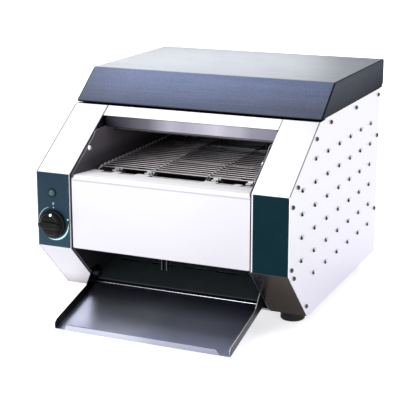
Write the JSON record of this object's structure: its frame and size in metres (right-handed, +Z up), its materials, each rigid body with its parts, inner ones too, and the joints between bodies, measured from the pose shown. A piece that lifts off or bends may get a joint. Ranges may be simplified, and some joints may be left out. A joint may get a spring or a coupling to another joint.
{
  "type": "conveyor toaster",
  "caption": "Countertop conveyor toaster: stainless housing, dark hood, wire belt, heating tubes, speed knob, tilting toast tray and pull-out crumb tray.",
  "frame": {"origin": "middle of the machine's bounding box, on the surface that the feet stand on", "axes": "+X to the right for someone facing the controls, +Y towards the rear, +Z up"},
  "size_m": [0.3732, 0.4784, 0.3233],
  "materials": {
    "stainless": "polished",
    "hood_paint": "semi-gloss texture",
    "green_paint": "satin",
    "dark_sheet": "heat-darkened",
    "wire": "drawn",
    "steel": "machined",
    "bronze": "sintered",
    "heater": "oxidised",
    "motor_metal": "cast",
    "black_plastic": "matte",
    "lens_green": "gloss",
    "pale_plastic": "matte",
    "rubber": "matte"
  },
  "bodies": {
    "housing": {"hood": "hood_paint", "top_deck": "stainless", "rear_panel": "stainless", "base_pan": "stainless", "left_side_panel": "stainless", "right_side_panel": "stainless", "left_front_column": "stainless", "right_front_column": "stainless", "control_plate": "green_paint", "blank_plate": "green_paint", "front_panel": "stainless", "front_panel_clip": "stainless", "cross_strip": "stainless", "upper_baffle": "stainless", "left_inner_cheek": "dark_sheet", "right_inner_cheek": "dark_sheet", "wire_belt": "wire", "belt_support_bars": "stainless", "front_bushes": "bronze", "rear_bushes": "bronze", "upper_heating_tubes": "heater", "lower_heating_tubes": "heater", "upper_reflector": "stainless", "lower_reflector": "stainless", "rear_toast_guide": "stainless", "toast_slide": "stainless", "tray_pivot_screws": "steel", "crumb_tray_runners": "stainless", "gear_motor": "motor_metal", "motor_bracket": "stainless", "speed_control": "black_plastic", "pilot_lamp": "lens_green", "lamp_holder": "black_plastic", "terminal_block": "pale_plastic", "cord_gland": "black_plastic", "front_left_foot": "rubber", "front_right_foot": "rubber", "rear_left_foot": "rubber", "rear_right_foot": "rubber"},
    "rear_shaft": {"rear_drive_shaft": "steel", "rear_sprockets": "steel", "drive_gear": "steel"},
    "front_shaft": {"front_idler_shaft": "steel", "front_sprockets": "steel"},
    "pinion": {"motor_pinion": "steel", "motor_output_shaft": "steel"},
    "knob": {"control_knob": "black_plastic", "knob_shaft": "steel"},
    "toast_tray": {"toast_tray": "stainless"},
    "crumb_tray": {"crumb_tray": "stainless"}
  },
  "joints": [
    {"name": "rear_shaft_spin", "type": "hinge", "parent": "housing", "child": "rear_shaft", "pos_m": [0, 0.16418, 0.1798], "axis": [1, 0, 0], "continuous": true},
    {"name": "front_shaft_spin", "type": "hinge", "parent": "housing", "child": "front_shaft", "pos_m": [0, -0.09982, 0.1798], "axis": [1, 0, 0], "continuous": true},
    {"name": "pinion_spin", "type": "hinge", "parent": "housing", "child": "pinion", "pos_m": [0, 0.16418, 0.1272], "axis": [1, 0, 0], "continuous": true},
    {"name": "knob_turn", "type": "hinge", "parent": "housing", "child": "knob", "pos_m": [-0.159, -0.17982, 0.1318], "axis": [0, 1, 0], "range_deg": [0, 270]},
    {"name": "toast_tray_tilt", "type": "hinge", "parent": "housing", "child": "toast_tray", "pos_m": [0, -0.11823, 0.04548], "axis": [-1, 0, 0], "range_deg": [0, 45]},
    {"name": "crumb_tray_slide", "type": "slide", "parent": "housing", "child": "crumb_tray", "axis": [0, 1, 0], "range_m": [0, 0.28]}
  ],
  "couplings": [
    {"joint": "front_shaft_spin", "follows": "rear_shaft_spin", "ratio": 1},
    {"joint": "pinion_spin", "follows": "rear_shaft_spin", "ratio": -2.5}
  ]
}
